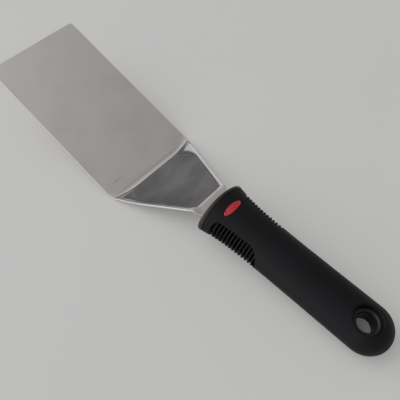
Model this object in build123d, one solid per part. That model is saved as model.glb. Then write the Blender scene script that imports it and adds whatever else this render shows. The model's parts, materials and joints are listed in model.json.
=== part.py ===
from build123d import *
from math import acos, atan2, cos, degrees, exp, hypot, radians, sin, sqrt, tan
import os

# Grill spatula (an offset turner). The steel blade, neck and tang are one formed sheet. The tang
# is pinned between the two halves of a hard core, and a soft finned sleeve is moulded over the core.
#
# Frame: +X towards the front edge of the blade, +Y to the left, +Z up, millimetres. The tool lies
# as it does on a table, on its heel bend and on the underside of its tail, which are both at z = 0.
# The origin is under the middle of the tool.

# ---- Driving dimensions: steel sheet ----
sheet_t = 1.2
blade_l = 141.5          # front edge to the sharp line where the blade and neck planes meet
blade_w = 78.6
blade_corner_r = 3.0
neck_l = 60.0            # heel line to the line where the neck and tang planes meet
neck_angle = 37.0        # neck above the plane of the blade
neck_taper = 0.40        # half-width lost for each millimetre of neck
heel_corner_l = 11.0     # the taper builds up over this length on each side of the heel line
heel_r = 6.6             # bend radii at the middle of the sheet
tang_bend_r = 6.0
rim_w = 3.6              # turned-up rim along both sides of the neck
rim_turn = 32.0          # how far the rim turns up at its edge
flat_turn = 0.5          # the same on the blade and tang, which are flat in all but name
rim_rise_l = 5.0         # the rim rises over this length on each side of the heel line
rim_fade_l = 6.0         # and starts to fade this far in front of the tang line
heel_spread_w = 11.0     # the rims spread to round off the corners of the flat panel of the neck
heel_spread_l = 14.0
tang_spread_w = 3.5
tang_spread_l = 5.0
tang_corner_l = 7.0      # length behind the tang line over which the neck narrows to the tang
tang_w_out = 26.0        # tang in front of the handle
tang_w_in = 19.0         # tang inside the core
tang_depth = 95.0        # tang inside the handle
tang_shoulder_s = 1.0    # the wide part of the tang ends this far inside the handle
tang_shoulder_l = 2.5    # and narrows over this length

# ---- Driving dimensions: handle ----
handle_angle = 14.0      # handle above the plane of the blade
handle_gap = 8.6         # neck and tang corner line to the front of the handle
handle_l = 136.7
grip_w = 33.5            # width and thickness behind the flare
grip_t = 23.8
flare_w = 4.3            # extra half-width at the front, dying away over flare_run
flare_t = 0.6
flare_start = 3.0
flare_run = 17.0
flare_fade_s = 40.0      # what is left of the flare is faded out from here to the end of the flare
flare_end_s = 72.0
nose_bulge_r = 190.0     # front face seen from above
nose_s = -0.8            # middle of the front face
nose_edge_r = 1.8
seam_s = 2.1             # seam between the hard nose and the soft sleeve
seam_bulge_r = 125.0
seam_gap = 0.3
sleeve_t = 3.0
hole_s = 117.9           # hang hole, measured from the front of the handle
hole_r = 6.1
hole_wall_l = 9.6
hole_lip_r = 2.0         # rounding of both mouths of the eyelet
eyelet_r = 8.4
eyelet_fit = 0.1
flare_mouth_r = 9.9
flare_throat_r = 7.3

# ---- Driving dimensions: fins, badge, inside of the core ----
fin_count = 13
fin_t = 0.85
fin_pitch = 2.61
fin_first_s = 11.9       # centre of the fin nearest the blade
fin_bank_l = 36.8
fin_bank_h = 18.0
fin_bank_r = 3.0         # corners of the bank's front end; its rear end is a half circle
fin_depth = 4.0
fin_inner_y = 10.2       # the slots stop this far from the middle of the handle
core_waist_w = 23.0      # core between the two banks of fins
core_waist_s = 4.5
core_waist_l = 42.0
core_lap = 0.5           # overlap of the nose and the rest of the core
badge_s = 11.7
badge_w = 15.4
badge_l = 5.0
badge_proud = 0.25
badge_deep = 1.2
pin_r = 2.0
pin_l = 14.0
pin_s = (29.0, 61.0)
core_wall = 2.6
core_pockets = ((8.0, 24.0), (34.0, 56.0), (66.0, 92.0))
pocket_w = 17.0
tang_fit = 0.05
web_gap = 2.0            # between the inside of the sleeve and the web that carries the eyelet

# ---- Construction lengths ----
big = 400.0
spare = 1.0              # how far a cutting shape runs past what it cuts
bend_steps = 6


# ---- Lie of the tool ----
def direction(rise):
    """Unit vector pointing rearwards and up by rise degrees, as (x, z)."""
    return (-cos(radians(rise)), sin(radians(rise)))


def reach(along_x, along_z, turn):
    """How far an ellipse with these half-axes, turned by turn degrees, reaches along the second."""
    return hypot(along_x * sin(radians(turn)), along_z * cos(radians(turn)))


heel_set_back = heel_r * tan(radians(neck_angle / 2))
tang_turn = neck_angle - handle_angle
tang_set_back = tang_bend_r * tan(radians(tang_turn / 2))
dome_s = handle_l - grip_w / 2


def lie():
    """Blade pitch and origin: the heel bend and the domed tail both touch the table."""
    neck_x, neck_z = (neck_l * c for c in direction(neck_angle))
    grip_x, grip_z = ((handle_gap + dome_s) * c for c in direction(handle_angle))
    run = neck_x + grip_x - heel_set_back
    rise = neck_z + grip_z - heel_r
    pitch = 0.0
    for _ in range(20):
        drop = reach(grip_w / 2, grip_t / 2, pitch - handle_angle) - (heel_r + sheet_t / 2)
        pitch = degrees(atan2(run, rise) + acos(drop / hypot(run, rise)))
    c, s = cos(radians(pitch)), sin(radians(pitch))
    heel_z = heel_r + sheet_t / 2 - (heel_set_back * s + heel_r * c)
    front = blade_l * c + sheet_t / 2 * s
    dome_x = (neck_x + grip_x) * c - (neck_z + grip_z) * s
    back = dome_x - reach(grip_t / 2, grip_w / 2, pitch - handle_angle)
    return pitch, -(front + back) / 2, heel_z


blade_pitch, heel_x, heel_z = lie()


def at(start, length, rise):
    """Point this far from start, rearwards and up by rise degrees."""
    dx, dz = direction(rise)
    return (start[0] + length * dx, start[1] + length * dz)


heel_line = (heel_x, heel_z)
tang_line = at(heel_line, neck_l, neck_angle - blade_pitch)
nose_point = at(tang_line, handle_gap, handle_angle - blade_pitch)
handle_rise = handle_angle - blade_pitch
handle_frame = Plane(
    origin=(nose_point[0], 0, nose_point[1]),
    x_dir=(cos(radians(handle_rise)), 0, -sin(radians(handle_rise))),
    z_dir=(sin(radians(handle_rise)), 0, cos(radians(handle_rise))),
)


def place(shape):
    """Move a shape from the handle's frame, whose x runs forwards from the nose, to the tool's."""
    return handle_frame.location * shape


# ---- Formed steel sheet ----
def ease(value, low, high):
    """Smooth step from 0 at low to 1 at high."""
    t = min(max((value - low) / (high - low), 0.0), 1.0)
    return t * t * (3 - 2 * t)


def half_width(d):
    """Half-width of the sheet at a distance d behind the heel line, measured along the sheet."""
    if d < heel_corner_l:
        over = max(d + heel_corner_l, 0.0)
        return blade_w / 2 - neck_taper * over * over / (4 * heel_corner_l)
    if d < neck_l:
        return blade_w / 2 - neck_taper * d
    narrow = blade_w / 2 - neck_taper * neck_l
    shoulder = neck_l + handle_gap + tang_shoulder_s
    if d < shoulder:
        return narrow + (tang_w_out / 2 - narrow) * ease(d, neck_l, neck_l + tang_corner_l)
    return tang_w_out / 2 + (tang_w_in - tang_w_out) / 2 * ease(d, shoulder, shoulder + tang_shoulder_l)


def turn_up(d):
    """Angle through which the rim of the sheet turns up at a distance d behind the heel line."""
    rising = ease(d, -rim_rise_l, rim_rise_l)
    fading = 1 - ease(d, neck_l - rim_fade_l, neck_l + tang_corner_l)
    return flat_turn + (rim_turn - flat_turn) * rising * fading


def spread(share):
    """How much of the spread at a rounded corner is left at this share of its length."""
    left = 1 - min(max(share, 0.0), 1.0)
    return 1 - sqrt(1 - left * left)


def rim_width(d):
    """Width of the turned-up rim at a distance d behind the heel line."""
    tang_start = neck_l - tang_set_back
    heel = heel_spread_w * spread((d - heel_set_back) / heel_spread_l)
    tang = tang_spread_w * spread((tang_start - d) / tang_spread_l)
    heel *= ease(d, -heel_corner_l, heel_set_back)
    tang *= 1 - ease(d, tang_start, neck_l + tang_corner_l)
    return rim_w + max(heel, tang)


def sheet_section(origin, rise, d):
    """Cross-section of the sheet, square to its length, with both rims turned up."""
    width = rim_width(d)
    angle = radians(turn_up(d)) * sqrt(rim_w / width)
    mid_r = width / angle
    flat = half_width(d) - width
    half_t = sheet_t / 2

    def rim_point(r, share, side):
        return (side * (flat + r * sin(angle * share)), mid_r - r * cos(angle * share))

    under, over = mid_r + half_t, mid_r - half_t
    edges = [Line((-flat, -half_t), (flat, -half_t))]
    edges.append(ThreePointArc(*(rim_point(under, share, 1) for share in (0, 0.5, 1))))
    edges.append(Line(rim_point(under, 1, 1), rim_point(over, 1, 1)))
    edges.append(ThreePointArc(*(rim_point(over, share, 1) for share in (1, 0.5, 0))))
    edges.append(Line((flat, half_t), (-flat, half_t)))
    edges.append(ThreePointArc(*(rim_point(over, share, -1) for share in (0, 0.5, 1))))
    edges.append(Line(rim_point(over, 1, -1), rim_point(under, 1, -1)))
    edges.append(ThreePointArc(*(rim_point(under, share, -1) for share in (1, 0.5, 0))))
    tangent = direction(rise)
    plane = Plane(origin=(origin[0], 0, origin[1]), x_dir=(0, -1, 0), z_dir=(tangent[0], 0, tangent[1]))
    return plane * make_face(edges)


def walk(legs):
    """Stations along the middle of the sheet, each (point, rise, distance), from (length, turn) legs."""
    rise = -blade_pitch
    point = at(heel_line, -blade_l, rise)
    distance = -blade_l
    found = [(point, rise, distance)]
    for length, turn in legs:
        half = radians(turn / 2)
        chord = length * (sin(half) / half if turn else 1.0)
        point = at(point, chord, rise + turn / 2)
        rise += turn
        distance += length
        found.append((point, rise, distance))
    return found


def straight(length, count):
    """A straight run of the sheet as this many equal legs."""
    return [(length / count, 0)] * count


def bend(radius, turn):
    """A bend of the sheet as equal legs."""
    return [(radius * radians(abs(turn)) / bend_steps, turn / bend_steps)] * bend_steps


def make_blade():
    corner_run = heel_corner_l - heel_set_back
    fade_run = rim_fade_l - tang_set_back
    widening = handle_gap + tang_shoulder_s - tang_set_back
    legs = straight(blade_l - heel_corner_l, 1) + straight(corner_run, 4)
    legs += bend(heel_r, neck_angle)
    legs += straight(corner_run, 4)
    legs += straight(neck_l - heel_corner_l - rim_fade_l, 3) + straight(fade_run, 2)
    legs += bend(tang_bend_r, -tang_turn)
    legs += straight(widening, 6) + straight(tang_shoulder_l, 2)
    legs += straight(tang_depth - tang_shoulder_s - tang_shoulder_l, 1)
    sheet = loft(
        [sheet_section(p, rise, d) for p, rise, d in walk(legs)],
        ruled=True,
    )
    for side in (-1, 1):
        sheet -= blade_corner_cut(side)
    for s in pin_s:
        sheet -= place(Pos(-s, 0, 0) * Cylinder(pin_r + tang_fit, 4 * sheet_t))
    return sheet


def blade_corner_cut(side):
    """What is cut away to round one front corner of the blade."""
    r = blade_corner_r
    front = at(heel_line, -blade_l, -blade_pitch)
    rise = radians(blade_pitch)
    plane = Plane(
        origin=(front[0], side * blade_w / 2, front[1]),
        x_dir=(cos(rise), 0, sin(rise)),
        z_dir=(-sin(rise), 0, cos(rise)),
    )
    square = Box(2 * r, 2 * r, 4 * sheet_t)
    disc = Pos(-r, -side * r, 0) * Cylinder(r, 6 * sheet_t)
    return plane.location * (square - disc)


# ---- Handle body ----
def grip_body(inset):
    """Elliptical handle body with a flared front and a domed tail, shrunk all over by inset."""
    half_w, half_t = grip_w / 2 - inset, grip_t / 2 - inset
    spans = 9
    first_s = nose_s - spare
    sections = []
    for i in range(spans + 1):
        s = first_s + (flare_end_s - first_s) * i / spans
        fade = exp(-(s - flare_start) / flare_run) * (1 - ease(s, flare_fade_s, flare_end_s))
        plane = Plane(origin=(-s, 0, 0), x_dir=(0, 1, 0), z_dir=(-1, 0, 0))
        sections.append(plane * Ellipse(half_w + flare_w * fade, half_t + flare_t * fade))
    front = loft(sections)
    behind_flare = Plane(origin=(-flare_end_s, 0, 0), x_dir=(0, 1, 0), z_dir=(-1, 0, 0))
    body = front + extrude(behind_flare * Ellipse(half_w, half_t), dome_s - flare_end_s)
    dome = Sphere(half_w) & Pos(-big / 2, 0, 0) * Box(big, big, big)
    dome = Pos(-dome_s, 0, 0) * scale(dome, by=(1, 1, half_t / half_w))
    return body + dome


def behind(s, bulge_r):
    """Everything behind a bulged front that meets the handle's middle at s."""
    bulge = Pos(-s - bulge_r, 0, 0) * Cylinder(bulge_r, 4 * grip_t)
    rest = Pos(-s - bulge_r - big / 2, 0, 0) * Box(big, big, 4 * grip_t)
    return bulge + rest


def outer_body():
    """Outside of the handle, with its bulged nose and rounded front edge."""
    body = grip_body(0) & behind(nose_s, nose_bulge_r)
    front_edge = body.edges().filter_by(lambda e: e.bounding_box().min.X > -2 * nose_edge_r)
    return fillet(front_edge, nose_edge_r)


def hang_hole_flares():
    """Conical mouths of the hang hole through the soft sleeve, on both faces."""
    half_wall = hole_wall_l / 2
    top = grip_t / 2 + spare
    mouth = flare_mouth_r + spare * (flare_mouth_r - flare_throat_r) / (grip_t / 2 - half_wall)
    corners = [(0, 0), (flare_throat_r, 0), (flare_throat_r, half_wall), (mouth, top), (0, top), (0, 0)]
    outline = Polyline(*corners)
    cone = revolve(Plane.XZ * make_face(outline), Axis.Z)
    return Pos(-hole_s, 0, 0) * (cone + mirror(cone, Plane.XY))


outer = outer_body()
inner = grip_body(sleeve_t)


# ---- Hard core ----
def core_envelope():
    """Outside of the core: the exposed nose, and the inset body with its waist between the fins."""
    nose = outer - behind(seam_s, seam_bulge_r)
    waist = Box(core_waist_l, grip_w, 2 * grip_t)
    x = -core_waist_s - core_waist_l / 2
    y = (core_waist_w + grip_w) / 2
    rear = inner & behind(seam_s - core_lap, seam_bulge_r)
    rear -= Pos(x, y, 0) * waist
    rear -= Pos(x, -y, 0) * waist
    return nose + rear


def core_voids():
    """Weight-saving pockets, the slot for the tang and the holes for the pins."""
    roof = grip_body(sleeve_t + core_wall)
    voids = []
    for start, end in core_pockets:
        box = Pos(-(start + end) / 2, 0, 0) * Box(end - start, pocket_w, grip_t)
        voids.append(roof & box)
    slot_t = sheet_t + 2 * tang_fit
    wide, narrow = tang_w_out / 2 + 2 * tang_fit, tang_w_in / 2 + 2 * tang_fit
    shoulder_x = -(tang_shoulder_s + tang_shoulder_l + 2 * tang_fit)
    front_x = spare - nose_s
    rear_x = -tang_depth - spare
    corners = [(front_x, wide), (shoulder_x, wide), (shoulder_x, narrow), (rear_x, narrow)]
    corners += [(x, -y) for x, y in reversed(corners)]
    voids.append(extrude(make_face(Polyline(*corners, close=True)), slot_t / 2, both=True))
    for s in pin_s:
        voids.append(Pos(-s, 0, 0) * Cylinder(pin_r, pin_l))
    return voids


def eyelet():
    """Smooth hard tube that lines the hang hole, rounded at both mouths."""
    length = hole_wall_l + 2 * hole_lip_r
    ring = Cylinder(eyelet_r, length) - Cylinder(hole_r, length)
    mouths = ring.edges().filter_by(GeomType.CIRCLE).filter_by(lambda e: abs(e.radius - hole_r) < 0.01)
    ring = fillet(mouths, hole_lip_r)
    return Pos(-hole_s, 0, 0) * ring


def make_core():
    """Upper and lower halves of the core; the lower half carries the whole eyelet."""
    envelope = core_envelope()
    for void in core_voids():
        envelope -= void
    envelope -= Pos(-hole_s, 0, 0) * Cylinder(eyelet_r + eyelet_fit, 2 * grip_t)
    upper = envelope & Pos(0, 0, big / 2) * Box(big, big, big)
    lower = envelope & Pos(0, 0, -big / 2) * Box(big, big, big)
    web_t = grip_t / 2 - sleeve_t - web_gap
    web = Cylinder(eyelet_r + 2 * eyelet_fit, web_t) - Cylinder(eyelet_r - eyelet_fit, web_t)
    lower += eyelet() + Pos(-hole_s, 0, -web_t / 2) * web
    return upper, lower


# ---- Soft sleeve, badge and pins ----
def fin_bank():
    """Side view of a bank of fins."""
    front = Pos(fin_bank_l / 4, 0) * RectangleRounded(fin_bank_l / 2, fin_bank_h, fin_bank_r)
    return SlotOverall(fin_bank_l, fin_bank_h) + front


def fin_slots():
    """Both banks of slots: a rounded pocket on each side with the fins left standing in it."""
    centre_s = fin_first_s + fin_pitch * (fin_count - 1) / 2
    bank = extrude(Plane.XZ * Pos(-centre_s, 0) * fin_bank(), big / 4, both=True)
    bank &= Pos(-centre_s, 0, 0) * Box(big, grip_w + 4 * flare_w, big)
    bank -= Pos(-centre_s, 0, 0) * Box(fin_bank_l + spare, 2 * fin_inner_y, fin_bank_h + spare)
    for i in range(fin_count):
        s = fin_first_s + fin_pitch * i
        bank -= Pos(-s, 0, 0) * Box(fin_t, 4 * grip_w, fin_bank_h + spare)
    return bank - grip_body(fin_depth)


def badge_prism():
    plane = Plane(origin=(-badge_s, 0, 0))
    return extrude(plane * Ellipse(badge_l / 2, badge_w / 2), grip_t)


def make_badge():
    """Plain oval badge that follows the curve of the handle."""
    return badge_prism() & grip_body(-badge_proud) - grip_body(badge_deep)


def make_sleeve():
    """Soft outer sleeve around the core, with fins, badge recess and flared hang hole."""
    sleeve = outer & behind(seam_s + seam_gap, seam_bulge_r)
    sleeve -= core_envelope()
    sleeve -= badge_prism() - grip_body(badge_deep)
    sleeve -= fin_slots()
    sleeve -= hang_hole_flares()
    return sleeve


def make_pins():
    return Compound([Pos(-s, 0, 0) * Cylinder(pin_r, pin_l) for s in pin_s])


os.makedirs("parts", exist_ok=True)
core_upper, core_lower = make_core()
export_step(make_blade(), "parts/blade.step")
export_step(place(core_upper), "parts/core_upper.step")
export_step(place(core_lower), "parts/core_lower.step")
export_step(place(make_pins()), "parts/tang_pins.step")
export_step(place(make_sleeve()), "parts/grip_sleeve.step")
export_step(place(make_badge()), "parts/badge.step")
print(f"blade pitch {blade_pitch:.2f} deg, handle rise {handle_rise:.2f} deg")
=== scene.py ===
import json
from math import acos, atan2, cos, exp, hypot, pi, radians, sin, sqrt, tan

import bmesh
import bpy
from mathutils import Matrix, Vector

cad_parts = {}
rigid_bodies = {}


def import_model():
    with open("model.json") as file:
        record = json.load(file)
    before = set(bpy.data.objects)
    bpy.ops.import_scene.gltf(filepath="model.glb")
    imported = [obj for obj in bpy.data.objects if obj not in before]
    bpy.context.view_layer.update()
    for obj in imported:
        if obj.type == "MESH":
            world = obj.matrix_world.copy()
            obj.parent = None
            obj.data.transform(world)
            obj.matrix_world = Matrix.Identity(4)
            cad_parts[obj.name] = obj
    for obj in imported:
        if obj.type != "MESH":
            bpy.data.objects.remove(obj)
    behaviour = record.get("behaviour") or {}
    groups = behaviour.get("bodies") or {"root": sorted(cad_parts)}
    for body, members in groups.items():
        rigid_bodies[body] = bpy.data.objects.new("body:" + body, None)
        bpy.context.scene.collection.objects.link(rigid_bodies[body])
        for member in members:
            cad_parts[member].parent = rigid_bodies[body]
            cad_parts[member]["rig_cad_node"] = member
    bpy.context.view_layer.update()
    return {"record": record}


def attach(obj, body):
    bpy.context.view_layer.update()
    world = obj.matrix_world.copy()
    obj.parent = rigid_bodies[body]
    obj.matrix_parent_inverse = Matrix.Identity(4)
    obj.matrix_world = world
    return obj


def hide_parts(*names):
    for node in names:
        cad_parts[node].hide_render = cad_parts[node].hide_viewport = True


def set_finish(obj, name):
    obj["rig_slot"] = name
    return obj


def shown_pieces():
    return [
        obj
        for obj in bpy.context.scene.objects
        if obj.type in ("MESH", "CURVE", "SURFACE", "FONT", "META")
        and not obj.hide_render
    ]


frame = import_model()

MM = 0.001

# ---- Dimensions that the CAD model has too, in millimetres and degrees ----
SHEET_T = 1.2
BLADE_L, BLADE_W, BLADE_CORNER_R = 141.5, 78.6, 3.0
NECK_L, NECK_ANGLE, NECK_TAPER = 60.0, 37.0, 0.40
TANG_BEND_R = 6.0
HEEL_CORNER_L, RIM_FADE_L, TANG_CORNER_L = 11.0, 6.0, 7.0
RIM_W, RIM_TURN, FLAT_TURN = 3.6, 32.0, 0.5
TANG_SPREAD_W, TANG_SPREAD_L = 3.5, 5.0
TANG_W_OUT, TANG_W_IN, TANG_DEPTH = 26.0, 19.0, 95.0
TANG_SHOULDER_S, TANG_SHOULDER_L = 1.0, 2.5
HANDLE_ANGLE, HANDLE_GAP, HANDLE_L = 14.0, 8.6, 136.7
BLADE_PITCH = 17.6543
HEEL_LINE = (33.3081, 0.2411)
NOSE_POINT = (-31.8867, 19.5690)
GRIP_W, GRIP_T = 33.5, 23.8
FLARE_W, FLARE_T, FLARE_START, FLARE_RUN = 4.3, 0.6, 3.0, 17.0
FLARE_FADE_S, FLARE_END_S = 40.0, 72.0
NOSE_S, NOSE_BULGE_R, NOSE_EDGE_R = -0.8, 190.0, 1.8
SEAM_S, SEAM_GAP, SEAM_BULGE_R, SLEEVE_T = 2.1, 0.3, 125.0, 3.0
HOLE_S, HOLE_WALL_L, MOUTH_R, THROAT_R = 117.9, 9.6, 9.9, 7.3
FIN_COUNT, FIN_T, FIN_PITCH, FIN_FIRST_S = 13, 0.85, 2.61, 11.9
BANK_L, BANK_H, BANK_CORNER_R, FIN_DEPTH, FIN_INNER_Y = 36.8, 18.0, 3.0, 4.0, 10.2
WAIST_W, WAIST_S, WAIST_L = 23.0, 4.5, 42.0
BADGE_S, BADGE_W, BADGE_L = 11.7, 15.4, 5.0

# ---- The heel, which is softer here than in the CAD model ----
HEEL_R = 9.0                                # 6.6 in the CAD model
HEEL_SPREAD_W, HEEL_SPREAD_L = 16.0, 18.0   # 11 and 14 in the CAD model
RIM_RISE = (-9.0, 4.0)                      # -5 to 5 in the CAD model
SPREAD_SETTLE_L = 2.0                       # 0 in the CAD model

HANDLE_RISE = HANDLE_ANGLE - BLADE_PITCH
DOME_S = HANDLE_L - GRIP_W / 2


def clamp(value, low=0.0, high=1.0):
    return min(max(value, low), high)


def ease(value, low, high):
    """Smooth step from 0 at low to 1 at high."""
    t = clamp((value - low) / (high - low))
    return t * t * (3 - 2 * t)


def direction(rise):
    """Unit vector pointing rearwards and up by rise degrees, as (x, z)."""
    return (-cos(radians(rise)), sin(radians(rise)))


def at(start, length, rise):
    dx, dz = direction(rise)
    return (start[0] + length * dx, start[1] + length * dz)


def from_handle(x, y, z):
    """A point of the handle's own frame, whose x runs forwards from the nose, in the frame of the tool."""
    c, s = cos(radians(HANDLE_RISE)), sin(radians(HANDLE_RISE))
    return (NOSE_POINT[0] + x * c + z * s, y, NOSE_POINT[1] - x * s + z * c)


# ---- Mesh helpers ----
SHARP_ANGLE = 48.0


def mesh_piece(name, points, faces, slot, node, numbers=None):
    """A smooth-shaded piece from points in millimetres, which stands for a CAD node."""
    mesh = bpy.data.meshes.new(name)
    mesh.from_pydata([[c * MM for c in p] for p in points], [], faces)
    shell = bmesh.new()
    shell.from_mesh(mesh)
    bmesh.ops.recalc_face_normals(shell, faces=shell.faces)
    shell.to_mesh(mesh)
    shell.free()
    for key, values in (numbers or {}).items():
        layer = mesh.attributes.new(key, "FLOAT", "POINT")
        layer.data.foreach_set("value", values)
    mesh.shade_smooth()
    mesh.set_sharp_from_angle(angle=radians(SHARP_ANGLE))
    piece = bpy.data.objects.new(name, mesh)
    bpy.context.scene.collection.objects.link(piece)
    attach(piece, "root")
    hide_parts(node)
    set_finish(piece, slot)
    return piece


def strip(first, second, closed=True):
    """Quads between two rows of vertex numbers."""
    count = len(first)
    last = count if closed else count - 1
    return [(first[i], first[(i + 1) % count], second[(i + 1) % count], second[i]) for i in range(last)]


# ---- Steel sheet: blade, neck and tang ----
EDGE_R = 0.42
EDGE_STEPS, CORNER_STEPS, RIM_STEPS, FLAT_STEPS = 5, 6, 14, 28
BY_HEEL_L, BY_TANG_L = 6.0, 8.0         # straight stretches with closer rows, beside the bends
TANG_NEAR_L = 4.0                       # the tang's first stretch inside the handle


def edge_steps():
    """Distances from an edge at which its rounding is sampled."""
    return [EDGE_R * (1 - cos(pi / 2 * k / EDGE_STEPS)) for k in range(EDGE_STEPS)]


def half_width(d):
    """Half-width of the sheet at a distance d behind the heel line, measured along the sheet."""
    from_front = d + BLADE_L
    if from_front < BLADE_CORNER_R:
        over = BLADE_CORNER_R - from_front
        return BLADE_W / 2 - BLADE_CORNER_R + sqrt(BLADE_CORNER_R ** 2 - over * over)
    if d < HEEL_CORNER_L:
        over = max(d + HEEL_CORNER_L, 0.0)
        return BLADE_W / 2 - NECK_TAPER * over * over / (4 * HEEL_CORNER_L)
    if d < NECK_L:
        return BLADE_W / 2 - NECK_TAPER * d
    narrow = BLADE_W / 2 - NECK_TAPER * NECK_L
    shoulder = NECK_L + HANDLE_GAP
    if d < shoulder + TANG_SHOULDER_S:
        return narrow + (TANG_W_OUT / 2 - narrow) * ease(d, NECK_L, NECK_L + TANG_CORNER_L)
    stepped = ease(d, shoulder + TANG_SHOULDER_S, shoulder + TANG_SHOULDER_S + TANG_SHOULDER_L)
    return TANG_W_OUT / 2 + (TANG_W_IN - TANG_W_OUT) / 2 * stepped


def turn_up(d):
    """Angle through which the rim turns up at a distance d behind the heel line."""
    rising = ease(d, *RIM_RISE)
    fading = 1 - ease(d, NECK_L - RIM_FADE_L, NECK_L + TANG_CORNER_L)
    return FLAT_TURN + (RIM_TURN - FLAT_TURN) * rising * fading


def spread(share):
    """How much of the rims' spread is left at this share of its length; a quarter circle in the CAD model."""
    left = 1 - clamp(share)
    return left * left


def rim_width(d):
    """Width of the rims, which spread to soften the corners of the flat panel of the neck."""
    heel_end = HEEL_R * tan(radians(NECK_ANGLE / 2))
    tang_start = NECK_L - TANG_BEND_R * tan(radians((NECK_ANGLE - HANDLE_ANGLE) / 2))
    heel = HEEL_SPREAD_W * spread((d - heel_end) / HEEL_SPREAD_L)
    tang = TANG_SPREAD_W * spread((tang_start - d) / TANG_SPREAD_L)
    heel *= ease(d, -HEEL_CORNER_L, heel_end + SPREAD_SETTLE_L)
    tang *= 1 - ease(d, tang_start, NECK_L + TANG_CORNER_L)
    return RIM_W + max(heel, tang)


def sheet_path():
    """Stations along the middle of the sheet, each (point, rise, distance behind the heel line)."""
    heel_set_back = HEEL_R * tan(radians(NECK_ANGLE / 2))
    tang_turn = NECK_ANGLE - HANDLE_ANGLE
    tang_set_back = TANG_BEND_R * tan(radians(tang_turn / 2))
    front = edge_steps()
    front += [EDGE_R + (BLADE_CORNER_R - EDGE_R) * k / CORNER_STEPS for k in range(CORNER_STEPS + 1)]
    legs = [(b - a, 0) for a, b in zip(front, front[1:])]

    def straight(length, count):
        return [(length / count, 0)] * count

    def bend(radius, turn, count):
        return [(radius * radians(abs(turn)) / count, turn / count)] * count

    legs += straight(BLADE_L - heel_set_back - BLADE_CORNER_R - BY_HEEL_L, 44)
    legs += straight(BY_HEEL_L, 8)
    legs += bend(HEEL_R, NECK_ANGLE, 14)
    legs += straight(BY_HEEL_L, 8)
    legs += straight(NECK_L - heel_set_back - tang_set_back - BY_HEEL_L - BY_TANG_L, 22)
    legs += straight(BY_TANG_L, 12)
    legs += bend(TANG_BEND_R, -tang_turn, 10)
    legs += straight(HANDLE_GAP - tang_set_back + TANG_NEAR_L, 16)
    legs += straight(TANG_DEPTH - TANG_NEAR_L - EDGE_R, 24)
    legs += [(EDGE_R, 0)]
    rise, distance = -BLADE_PITCH, -BLADE_L
    point = at(HEEL_LINE, -BLADE_L, rise)
    found = [(point, rise, distance)]
    for length, turn in legs:
        half = radians(turn / 2)
        chord = length * (sin(half) / half if turn else 1.0)
        point = at(point, chord, rise + turn / 2)
        rise += turn
        distance += length
        found.append((point, rise, distance))
    return found


def rounded(half_t, to_edge):
    """Half-thickness of the sheet this far from a rounded edge."""
    if to_edge >= EDGE_R:
        return half_t
    over = min(EDGE_R - to_edge, EDGE_R)
    return half_t - EDGE_R + sqrt(EDGE_R ** 2 - over * over)


def make_sheet():
    """The sheet as one closed skin, with the place along and across it kept for the material."""
    half_t = SHEET_T / 2
    path = sheet_path()
    total = path[-1][2] + BLADE_L
    points, along, across, rows = [], [], [], []
    for origin, rise, d in path:
        half_w = half_width(d)
        rim_w = rim_width(d)
        angle = radians(turn_up(d)) * sqrt(RIM_W / rim_w)
        mid_r = rim_w / angle
        flat = half_w - rim_w
        from_edge = edge_steps()
        from_edge += [EDGE_R + (rim_w - EDGE_R) * k / RIM_STEPS for k in range(RIM_STEPS + 1)]
        side = [half_w - q for q in from_edge]
        middle = [flat * (1 - 2 * k / FLAT_STEPS) for k in range(1, FLAT_STEPS)]
        widths = side + middle + [-w for w in reversed(side)]
        end = min(d + BLADE_L, total - d - BLADE_L)
        tangent = direction(rise)
        normal = (-tangent[1], tangent[0])
        top, under = [], []
        for w in widths:
            a = max(abs(w) - flat, 0.0) / mid_r
            sign = 1 if w >= 0 else -1
            y = min(abs(w), flat) + mid_r * sin(a)
            n = mid_r * (1 - cos(a))
            thick = min(rounded(half_t, half_w - abs(w)), rounded(half_t, end))
            for row, t in ((top, thick), (under, -thick)):
                offset_y, offset_n = sign * (y - t * sin(a)), n + t * cos(a)
                row.append(len(points))
                points.append((origin[0] - offset_n * normal[0], offset_y, origin[1] - offset_n * normal[1]))
                along.append(d)
                across.append(w)
        rows.append((top, under))
    faces = []
    for (top, under), (next_top, next_under) in zip(rows, rows[1:]):
        faces += strip(top + under[::-1], next_top + next_under[::-1])
    for (top, under), flip in ((rows[0], False), (rows[-1], True)):
        cap = strip(top, under, closed=False)
        faces += [f[::-1] if not flip else f for f in cap]
    places = {"along": along, "across": across}
    return mesh_piece("blade_sheet", points, faces, "blade_steel", "blade", places)


# ---- Soft sleeve ----
LIP_R = 0.25
LIP = ((1.0, 0.0), (0.52, 0.124), (0.16, 0.46), (0.0, 1.0))    # (distance outside the edge, depth), in LIP_R
WALL_DRAFT = 0.05
UPPER, INNER = 12, 16            # columns above and below the fins, and across them
TIP_Z = 1.5                      # the rounded rear end of the fin bank is cut off flat at this half-height
IDLE_Z = 5.0                     # where the fin columns lie on the rest of the handle
IDLE_RUN = (0.3, 4.0)            # over which they get there, beyond each end of the bank
JUNCTION_S = 98.0                # where the rings of the handle give way to the columns of the tail
FRONT_ROWS = (2.75, 3.3, 4.0, 4.9, 5.9, 6.9, 7.8, 8.4)
FRONT_SHARES = (0, 0.06, 0.18, 0.36, 0.6, 0.8, 1)       # rows across the first, rounded slot
SLOT_SHARES = (0, 0.5, 1)
REAR_SHARES = (0, 0.2, 0.4, 0.64, 0.82, 0.94, 1)        # rows across the last, rounded slot
REAR_ROWS = 30
SKIN = 0.05                      # of sleeve left over the core at the bottom of the slots
WAIST_EDGE = (5.5, 7.0)          # height over which the slots stop short of the wider core
SEAM_FADE = (3.0, 8.6)           # over which the rings lose the curve of the seam
SEAM_LIP, SEAM_STEP = 0.35, 0.1
MOUTH_ROUND = 1.1                # rounding of the hang hole's mouth
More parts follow.
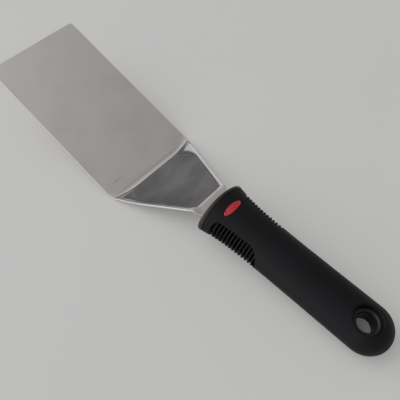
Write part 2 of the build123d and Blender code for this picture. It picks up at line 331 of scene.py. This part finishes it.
BANK_S = FIN_FIRST_S + FIN_PITCH * (FIN_COUNT - 1) / 2
BANK_R = BANK_H / 2
BANK_STRAIGHT = BANK_L / 2 - BANK_R
BANK_START = BANK_S - BANK_L / 2
BANK_END = BANK_S + BANK_STRAIGHT + sqrt(BANK_R ** 2 - TIP_Z ** 2)
FULL = 100.0                     # deeper than any slot, so the slot's floor decides


def flared(s):
    return exp(-(s - FLARE_START) / FLARE_RUN) * (1 - ease(s, FLARE_FADE_S, FLARE_END_S))


def half_sizes(s, inset=0.0):
    """Half-width and half-thickness of the handle in front of its domed tail."""
    return GRIP_W / 2 - inset + FLARE_W * flared(s), GRIP_T / 2 - inset + FLARE_T * flared(s)


def surface_z(s, y, inset=0.0):
    """Height of the handle's surface above its middle plane."""
    half_w, half_t = half_sizes(s, inset)
    over = max(s - DOME_S, 0.0)
    return half_t * sqrt(max(0.0, 1 - (over * over + y * y) / half_w ** 2))


def sag(y, radius):
    return radius - sqrt(radius * radius - y * y)


def bank_z(s):
    """Half-height of the fin bank in side view, or where its columns lie beyond its ends."""
    if s < BANK_START:
        end_z = BANK_R - BANK_CORNER_R
        return end_z + (IDLE_Z - end_z) * ease(BANK_START - s, *IDLE_RUN)
    if s < BANK_START + BANK_CORNER_R:
        over = BANK_CORNER_R - (s - BANK_START)
        return BANK_R - BANK_CORNER_R + sqrt(BANK_CORNER_R ** 2 - over * over)
    if s <= BANK_S + BANK_STRAIGHT:
        return BANK_R
    if s <= BANK_END:
        return sqrt(BANK_R ** 2 - (s - BANK_S - BANK_STRAIGHT) ** 2)
    return TIP_Z + (IDLE_Z - TIP_Z) * ease(s - BANK_END, *IDLE_RUN)


def column_angles(s, half_t):
    """Angles from the top of the handle down its left side to the bottom, with the depth class of each."""
    z = bank_z(s)
    edge = [(acos((z + out * LIP_R) / half_t), deep * LIP_R) for out, deep in LIP]
    wall = acos((z - WALL_DRAFT) / half_t)
    upper = [(edge[0][0] * k / UPPER, 0.0) for k in range(UPPER)]
    inner = [(wall + (pi / 2 - wall) * 2 * k / INNER, FULL) for k in range(INNER // 2)]
    quarter = upper + edge + inner
    return quarter + [(pi / 2, FULL)] + [(pi - a, deep) for a, deep in reversed(quarter)]


def sleeve_rows():
    """Rows of the outside, as (distance from the nose, how deep the slots are there)."""
    rows = [(s, 0.0) for s in FRONT_ROWS]
    edges = []
    for i in range(FIN_COUNT):
        middle = FIN_FIRST_S + FIN_PITCH * i
        edges += [middle - FIN_T / 2, middle + FIN_T / 2]
    edges = [BANK_START] + edges + [BANK_END]
    for start, end in zip(edges[::2], edges[1::2]):
        rows += [(start - out * LIP_R, deep * LIP_R) for out, deep in LIP]
        gap = end - start - 2 * WALL_DRAFT
        shares = FRONT_SHARES if start == BANK_START else REAR_SHARES if end == BANK_END else SLOT_SHARES
        rows += [(start + WALL_DRAFT + gap * share, FULL) for share in shares]
        rows += [(end + out * LIP_R, deep * LIP_R) for out, deep in reversed(LIP)]
    last = rows[-1][0]
    rows += [(last + (JUNCTION_S - last) * k / REAR_ROWS, 0.0) for k in range(1, REAR_ROWS + 1)]
    return rows


def slot_floor(s, z):
    """How far from the middle of the handle the slots stop at this height."""
    half_w, half_t = half_sizes(s, FIN_DEPTH)
    body = half_w * sqrt(1 - (z / half_t) ** 2) if abs(z) < half_t else 0.0
    core = WAIST_W / 2 + SKIN
    return max(body, core + (FIN_INNER_Y + SKIN - core) * ease(abs(z), *WAIST_EDGE))


def ring_points(s_row, inset, row_depth):
    """One ring of the sleeve, from the top down the left side, under, and up the right side."""
    _, row_half_t = half_sizes(s_row)
    left = []
    for angle, column_depth in column_angles(s_row, row_half_t):
        half_w, half_t = half_sizes(s_row, inset)
        y = half_w * sin(angle)
        s = s_row + sag(y, SEAM_BULGE_R) * (1 - ease(s_row, *SEAM_FADE))
        to_front = s - NOSE_S - sag(y, NOSE_BULGE_R)
        round_off = 0.0
        if to_front < NOSE_EDGE_R and inset < 1.0:
            round_off = NOSE_EDGE_R - sqrt(NOSE_EDGE_R ** 2 - (NOSE_EDGE_R - to_front) ** 2)
        half_w, half_t = half_sizes(s, inset + round_off)
        y, z = half_w * sin(angle), half_t * cos(angle)
        depth = min(row_depth, column_depth)
        if depth > 0:
            y -= min(depth, y - slot_floor(s, z))
        left.append((-s, y, z))
    return left + [(x, -y, z) for x, y, z in reversed(left[1:-1])]


def inner_ring(s_row):
    """One ring of the inside, which follows the core and its waist between the fins."""
    points = ring_points(s_row, SLEEVE_T, 0.0)
    if WAIST_S < s_row < WAIST_S + WAIST_L:
        points = [(x, clamp(y, -WAIST_W / 2, WAIST_W / 2), z) for x, y, z in points]
    return points


def mouth(direction_angle, inset):
    """Distance from the hole's axis at which its flare meets the handle's surface, and the height there."""
    slope = (MOUTH_R - THROAT_R) / (GRIP_T / 2 - HOLE_WALL_L / 2)
    r = THROAT_R
    for _ in range(30):
        z = surface_z(HOLE_S + r * cos(direction_angle), r * sin(direction_angle), inset)
        r = THROAT_R + slope * (z - HOLE_WALL_L / 2)
    return r, z, slope


def tail_column(outer, inner, side):
    """Points from the outside of the tail over the flared mouth of the hang hole to the inside."""
    s_out, y_out = -outer[0], outer[1]
    angle = atan2(y_out, s_out - HOLE_S)
    c, sn = cos(angle), sin(angle)
    r_mouth, z_mouth, slope = mouth(angle, 0.0)
    r_inside, _, _ = mouth(angle, SLEEVE_T)
    r_out = hypot(s_out - HOLE_S, y_out)
    r_soft = r_mouth + MOUTH_ROUND
    steps = 18
    start = acos(r_soft / r_out)
    points = []
    for k in range(1, steps + 1):
        r = r_out * cos(start * k / steps)
        points.append((r, surface_z(HOLE_S + r * c, r * sn)))
    below = (r_mouth - slope * MOUTH_ROUND, z_mouth - MOUTH_ROUND)
    soft = points[-1]
    bends = 7
    for k in range(1, bends + 1):
        t = k / bends
        a, b, e = (1 - t) ** 2, 2 * t * (1 - t), t * t
        points.append((a * soft[0] + b * r_mouth + e * below[0], a * soft[1] + b * z_mouth + e * below[1]))
    z_inside = surface_z(HOLE_S + r_inside * c, r_inside * sn, SLEEVE_T)
    points.append(((below[0] + r_inside) / 2, (below[1] + z_inside) / 2))
    points = [(-(HOLE_S + r * c), r * sn, side * z) for r, z in points]
    s_in, y_in = HOLE_S + r_inside * c, r_inside * sn
    inside_steps = 6
    for k in range(inside_steps):
        q = sin(pi / 2 * k / inside_steps)
        s, y = s_in + (-inner[0] - s_in) * q, y_in + (inner[1] - y_in) * q
        points.append((-s, y, side * surface_z(s, y, SLEEVE_T)))
    return points


def equator(inset):
    """Points along the widest line of the tail, from its right side round to its left."""
    half_w = GRIP_W / 2 - inset
    straight, around = 10, 44
    run = DOME_S - JUNCTION_S
    points = [(-JUNCTION_S - run * k / straight, -half_w, 0.0) for k in range(1, straight)]
    for k in range(around + 1):
        a = pi * k / around
        points.append((-DOME_S - half_w * sin(a), -half_w * cos(a), 0.0))
    return points + [(x, -y, z) for x, y, z in reversed(points[: straight - 1])]


def make_sleeve():
    """The sleeve as one closed skin: rings along the handle, then columns over the tail and its hole."""
    points, faces = [], []

    def keep(row):
        first = len(points)
        points.extend(row)
        return list(range(first, first + len(row)))

    seam = SEAM_S + SEAM_GAP
    front = [keep(ring_points(seam, SEAM_LIP, 0.0)), keep(ring_points(seam + SEAM_STEP, SEAM_STEP, 0.0))]
    outer = front + [keep(ring_points(s, 0.0, depth)) for s, depth in sleeve_rows()]
    waist_end = WAIST_S + WAIST_L
    stations = [seam, WAIST_S, WAIST_S + SEAM_STEP]
    stations += [WAIST_S + WAIST_L * k / 10 for k in range(1, 10)]
    stations += [waist_end - SEAM_STEP, waist_end + SEAM_STEP, 60.0, 72.0, 85.0, JUNCTION_S]
    inner = [keep(inner_ring(s)) for s in stations]
    for rows in (outer, inner, [outer[0], inner[0]]):
        for first, second in zip(rows, rows[1:]):
            faces += strip(first, second)
    outer_side, inner_side = keep(equator(0.0)), keep(equator(SLEEVE_T))
    count = len(outer[-1])
    quarter = count // 4
    for side in (1, -1):
        order = [(quarter - side * k) % count for k in range(count // 2 + 1)]
        outer_loop = [outer[-1][i] for i in order] + outer_side
        inner_loop = [inner[-1][i] for i in order] + inner_side
        columns = []
        for o, i in zip(outer_loop, inner_loop):
            columns.append([o] + keep(tail_column(points[o], points[i], side)) + [i])
        for first, second in zip(columns, columns[1:] + columns[:1]):
            faces += strip(first, second, closed=False)
    return mesh_piece("soft_sleeve", [from_handle(*p) for p in points], faces, "soft_grip", "grip_sleeve")


# ---- Badge ----
def make_badge():
    """Plain oval badge: a fine raised rim round a slightly domed middle."""
    around = 72
    profile = ((1.0, -1.1), (1.0, 0.02), (0.985, 0.14), (0.955, 0.22), (0.92, 0.25), (0.885, 0.22),
               (0.86, 0.12), (0.84, 0.06), (0.78, 0.07), (0.6, 0.13), (0.35, 0.18), (0.12, 0.20))
    points, rows = [], []
    for share, height in profile:
        row = []
        for k in range(around):
            a = 2 * pi * k / around
            s = BADGE_S + BADGE_L / 2 * share * sin(a)
            y = BADGE_W / 2 * share * cos(a)
            row.append(len(points))
            points.append((-s, y, surface_z(s, y) + height))
        rows.append(row)
    faces = []
    for first, second in zip(rows, rows[1:]):
        faces += strip(first, second)
    faces += [tuple(rows[-1]), tuple(rows[0])]
    return mesh_piece("oval_badge", [from_handle(*p) for p in points], faces, "badge_red", "badge")


# ---- Materials ----
class Nodes:
    """Short calls that add nodes to one material or world tree."""

    def __init__(self, owner):
        owner.use_nodes = True
        self.tree = owner.node_tree
        self.tree.nodes.clear()

    def add(self, kind, inputs=None, **settings):
        node = self.tree.nodes.new(kind)
        for key, value in settings.items():
            setattr(node, key, value)
        for key, value in (inputs or {}).items():
            socket = node.inputs[key]
            if isinstance(value, bpy.types.NodeSocket):
                self.tree.links.new(value, socket)
            else:
                socket.default_value = value
        return node

    def math(self, operation, *values):
        node = self.add("ShaderNodeMath", dict(enumerate(values)), operation=operation)
        return node.outputs[0]

    def span(self, value, low, high, to_low=0.0, to_high=1.0, smooth=False):
        node = self.add(
            "ShaderNodeMapRange",
            {"Value": value, "From Min": low, "From Max": high, "To Min": to_low, "To Max": to_high},
            interpolation_type="SMOOTHSTEP" if smooth else "LINEAR",
        )
        return node.outputs["Result"]

    def ramp(self, value, *stops):
        """A colour ramp from (position, colour) stops."""
        node = self.add("ShaderNodeValToRGB", {"Fac": value})
        elements = node.color_ramp.elements
        while len(elements) < len(stops):
            elements.new(0.5)
        for element, (position, colour) in zip(elements, stops):
            element.position = position
            element.color = (*colour, 1.0)
        return node.outputs["Color"]

    def coords(self):
        return self.add("ShaderNodeTexCoord").outputs["Object"]

    def scaled(self, vector, scale):
        return self.add("ShaderNodeMapping", {"Vector": vector, "Scale": scale}).outputs["Vector"]

    def noise(self, vector, scale, detail=3.0, rough=0.5):
        inputs = {"Vector": vector, "Scale": scale, "Detail": detail, "Roughness": rough}
        return self.add("ShaderNodeTexNoise", inputs).outputs["Fac"]

    def mix(self, factor, first, second):
        node = self.add("ShaderNodeMix", data_type="RGBA")
        for index, value in ((0, factor), (6, first), (7, second)):
            if isinstance(value, bpy.types.NodeSocket):
                self.tree.links.new(value, node.inputs[index])
            else:
                node.inputs[index].default_value = value if index == 0 else (*value, 1.0)
        return node.outputs[2]

    def bump(self, height, distance, strength):
        inputs = {"Height": height, "Distance": distance, "Strength": strength}
        return self.add("ShaderNodeBump", inputs).outputs["Normal"]

    def attribute(self, name):
        return self.add("ShaderNodeAttribute", attribute_name=name).outputs["Fac"]

    def finish(self, **inputs):
        sockets = {key.replace("_", " "): value for key, value in inputs.items()}
        shader = self.add("ShaderNodeBsdfPrincipled", sockets)
        out = self.add("ShaderNodeOutputMaterial")
        self.tree.links.new(shader.outputs[0], out.inputs[0])


SATIN_EDGE = (-4.5, -1.5)                       # where the satin blade turns into the polished neck
PANEL_START, PANEL_END = (2.0, 6.0), (57.0, 53.0)
SCRATCH, SCRATCH_LEAN = (-12.0, 26.6), -0.11    # a short scuff on the blade, near its heel


def steel():
    """Satin blade, polished neck and tang, with smudges, fine marks and a painted darker reflection on the
    neck's flat panel.
    """
    material = bpy.data.materials.new("blade_steel")
    n = Nodes(material)
    along, across = n.attribute("along"), n.attribute("across")
    sheet = n.add("ShaderNodeCombineXYZ", {"X": along, "Y": across}).outputs[0]
    polished = n.span(along, *SATIN_EDGE, smooth=True)
    streaks = n.noise(n.scaled(sheet, (0.012, 1.0, 1.0)), 2.4, 4.0, 0.6)
    smudge = n.noise(sheet, 0.035, 3.0, 0.55)
    blotch = n.noise(sheet, 0.09, 4.0, 0.6)
    satin = n.math("ADD", n.span(smudge, 0.3, 0.7, 0.36, 0.46), n.span(streaks, 0.3, 0.7, -0.02, 0.02))
    polish = n.span(blotch, 0.3, 0.7, 0.07, 0.12)
    rough = n.add("ShaderNodeMix", {0: polished, 2: satin, 3: polish}).outputs[0]
    warm, pale, cool = (0.59, 0.55, 0.535), (0.605, 0.575, 0.56), (0.58, 0.575, 0.55)
    tint = n.ramp(smudge, (0.30, warm), (0.55, pale), (0.75, cool))
    colour = n.mix(n.span(streaks, 0.35, 0.65, 0.0, 0.10), tint, (0.50, 0.49, 0.48))
    # Painted reflection: the neck's flat panel gets a darker, cooler colour in mottled patches, which stands
    # for the dark end of the room that it mirrors.
    cloud = n.noise(n.scaled(sheet, (1.0, 0.6, 1.0)), 0.06, 2.0, 0.5)
    painted_panel_reflection = n.ramp(cloud, (0.38, (0.47, 0.48, 0.51)), (0.60, (0.61, 0.60, 0.61)))
    starts = n.span(along, *PANEL_START, smooth=True)
    panel = n.math("MULTIPLY", starts, n.span(along, *PANEL_END, smooth=True))
    colour = n.mix(panel, colour, painted_panel_reflection)
    wander = n.span(n.noise(sheet, 0.8, 2.0, 0.5), 0.0, 1.0, -0.5, 0.5)
    beside = n.math("SUBTRACT", across, SCRATCH[1])
    lengthwise = n.math("MULTIPLY_ADD", beside, SCRATCH_LEAN, n.math("SUBTRACT", along, SCRATCH[0]))
    off_line = n.math("ABSOLUTE", n.math("ADD", lengthwise, wander))
    past_end = n.math("ABSOLUTE", beside)
    scratch = n.math("MULTIPLY", n.span(off_line, 0.5, 0.1), n.span(past_end, 5.0, 3.5))
    colour = n.mix(n.math("MULTIPLY", scratch, 0.55), colour, (0.20, 0.19, 0.18))
    height = n.math("ADD", n.math("MULTIPLY", streaks, 0.6), n.math("MULTIPLY", blotch, 0.4))
    grain = n.bump(height, 0.00002, n.math("SUBTRACT", 0.5, n.math("MULTIPLY", polished, 0.35)))
    n.finish(Base_Color=colour, Metallic=1.0, Roughness=rough, Normal=grain)
    return material


def soft_grip():
    """Matte black elastomer with a faint moulded texture."""
    material = bpy.data.materials.new("soft_grip")
    n = Nodes(material)
    place = n.coords()
    fine = n.noise(place, 2600.0, 2.0, 0.6)
    patch = n.noise(place, 60.0, 4.0, 0.55)
    colour = n.ramp(patch, (0.25, (0.0045, 0.0048, 0.0060)), (0.75, (0.0070, 0.0076, 0.0094)))
    rough = n.span(patch, 0.25, 0.75, 0.50, 0.62)
    height = n.math("ADD", n.math("MULTIPLY", fine, 0.5), n.math("MULTIPLY", patch, 0.5))
    n.finish(Base_Color=colour, Roughness=rough, Normal=n.bump(height, 0.00004, 0.35), Specular_IOR_Level=0.2)
    return material


def core_plastic():
    """Smooth black moulded plastic."""
    material = bpy.data.materials.new("core_plastic")
    n = Nodes(material)
    place = n.coords()
    patch = n.noise(place, 90.0, 3.0, 0.5)
    colour = n.ramp(patch, (0.3, (0.010, 0.010, 0.011)), (0.7, (0.015, 0.015, 0.017)))
    rough = n.span(patch, 0.3, 0.7, 0.34, 0.44)
    n.finish(Base_Color=colour, Roughness=rough, Normal=n.bump(patch, 0.00002, 0.3), Specular_IOR_Level=0.35)
    return material


def pin_steel():
    """Turned steel of the hidden pins."""
    material = bpy.data.materials.new("pin_steel")
    n = Nodes(material)
    rings = n.noise(n.scaled(n.coords(), (40.0, 40.0, 1500.0)), 1.0, 3.0, 0.6)
    colour = n.ramp(rings, (0.3, (0.50, 0.50, 0.51)), (0.7, (0.60, 0.60, 0.61)))
    n.finish(
        Base_Color=colour, Metallic=1.0, Roughness=n.span(rings, 0.3, 0.7, 0.25, 0.40),
        Normal=n.bump(rings, 0.00003, 0.5),
    )
    return material


def badge_red():
    """Red moulded plastic, slightly uneven."""
    material = bpy.data.materials.new("badge_red")
    n = Nodes(material)
    patch = n.noise(n.coords(), 220.0, 3.0, 0.5)
    colour = n.ramp(patch, (0.3, (0.36, 0.012, 0.028)), (0.7, (0.44, 0.018, 0.036)))
    n.finish(
        Base_Color=colour, Roughness=n.span(patch, 0.3, 0.7, 0.30, 0.42), Normal=n.bump(patch, 0.00003, 0.4)
    )
    return material


def counter():
    """Plain pale counter."""
    material = bpy.data.materials.new("counter")
    n = Nodes(material)
    soft = n.noise(n.coords(), 6.0, 4.0, 0.55)
    colour = n.ramp(soft, (0.3, (0.84, 0.835, 0.82)), (0.7, (0.87, 0.865, 0.85)))
    n.finish(Base_Color=colour, Roughness=0.55)
    return material


# ---- The object ----
materials = {
    "blade_steel": steel(), "core_plastic": core_plastic(), "pin_steel": pin_steel(),
    "soft_grip": soft_grip(), "badge_red": badge_red(),
}
make_sheet()
make_sleeve()
make_badge()
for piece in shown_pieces():
    if "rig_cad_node" in piece:
        for row in frame["record"]["subparts"]:
            if row["node"] == piece["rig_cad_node"]:
                piece.data.materials.clear()
                piece.data.materials.append(materials[row["material_slot"]])
    else:
        piece.data.materials.append(materials[piece["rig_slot"]])


# ---- Floor, light and camera ----
FLOOR_SIZE = 6.0
KEY_AT, KEY_SIZE, KEY_POWER = (1.15, 0.6, 1.05), 1.8, 12.0
floor_mesh = bpy.data.meshes.new("floor")
corner = FLOOR_SIZE / 2
corners = [(-corner, -corner, 0), (corner, -corner, 0), (corner, corner, 0), (-corner, corner, 0)]
floor_mesh.from_pydata(corners, [], [(0, 1, 2, 3)])
floor_mesh.materials.append(counter())
floor = bpy.data.objects.new("floor", floor_mesh)
bpy.context.scene.collection.objects.link(floor)


def area_light(name, location, aim, size, power):
    data = bpy.data.lights.new(name, "AREA")
    data.shape, data.size, data.energy = "DISK", size, power
    light = bpy.data.objects.new(name, data)
    light.location = location
    light.rotation_euler = (Vector(aim) - Vector(location)).to_track_quat("-Z", "Y").to_euler()
    bpy.context.scene.collection.objects.link(light)


area_light("key", KEY_AT, (0, 0, 0), KEY_SIZE, KEY_POWER)


DARK_SIDE = (0.853, -0.366, 0.372)     # where the unlit end of the room is
WINDOW_SIDE = (0.71, 0.36, 0.61)
WALL_SIDE = (0.35, 0.93, 0.10)
DIM_SIDE = (0.0, -0.98, 0.2)


def studio_world():
    """Soft even light from a broad window side, with one dark end of the room that the neck mirrors."""
    world = bpy.data.worlds.new("studio")
    bpy.context.scene.world = world
    n = Nodes(world)
    ray = n.add("ShaderNodeTexCoord").outputs["Generated"]

    def toward(side):
        return n.add("ShaderNodeVectorMath", {0: ray, 1: side}, operation="DOT_PRODUCT").outputs["Value"]

    height = n.add("ShaderNodeSeparateXYZ", {0: ray}).outputs["Z"]
    dimmed = n.span(toward(DIM_SIDE), 0.2, 0.9, 1.0, 0.8)
    room = n.math("MULTIPLY", n.span(height, 0.0, 1.0, 0.62, 0.42), dimmed)
    window = n.span(toward(WINDOW_SIDE), 0.45, 0.95, 0.0, 0.65, smooth=True)
    drift = n.span(n.noise(ray, 9.0, 2.0, 0.5), 0.38, 0.62, 0.70, 1.15)
    shade = n.math("MULTIPLY", n.span(toward(DARK_SIDE), 0.9877, 1.0, 0.155, 0.205), drift)
    unlit = n.span(toward(DARK_SIDE), 0.969, 0.983, smooth=True)
    wall = n.span(toward(WALL_SIDE), 0.75, 0.97, 0.0, 1.5, smooth=True)
    lit = n.math("ADD", n.math("ADD", room, window), wall)
    level = n.add("ShaderNodeMix", {0: unlit, 2: lit, 3: shade}).outputs[0]
    shader = n.add("ShaderNodeBackground", {"Color": (1.0, 0.993, 0.98, 1.0), "Strength": level})
    out = n.add("ShaderNodeOutputWorld")
    n.tree.links.new(shader.outputs[0], out.inputs[0])


studio_world()

CAMERA_AT = Vector((-0.14542, 0.13747, 0.29695))
CAMERA_AIM = Vector((-0.01613, 0.00113, 0.0120))
CAMERA_ROLL = -0.404
camera_data = bpy.data.cameras.new("camera")
camera_data.sensor_width = 36.0
camera_data.lens = 43.65
camera = bpy.data.objects.new("camera", camera_data)
camera.location = CAMERA_AT
facing = (CAMERA_AIM - CAMERA_AT).to_track_quat("-Z", "Y").to_matrix()
camera.rotation_euler = (facing @ Matrix.Rotation(radians(CAMERA_ROLL), 3, "Z")).to_euler()
bpy.context.scene.collection.objects.link(camera)
bpy.context.scene.camera = camera
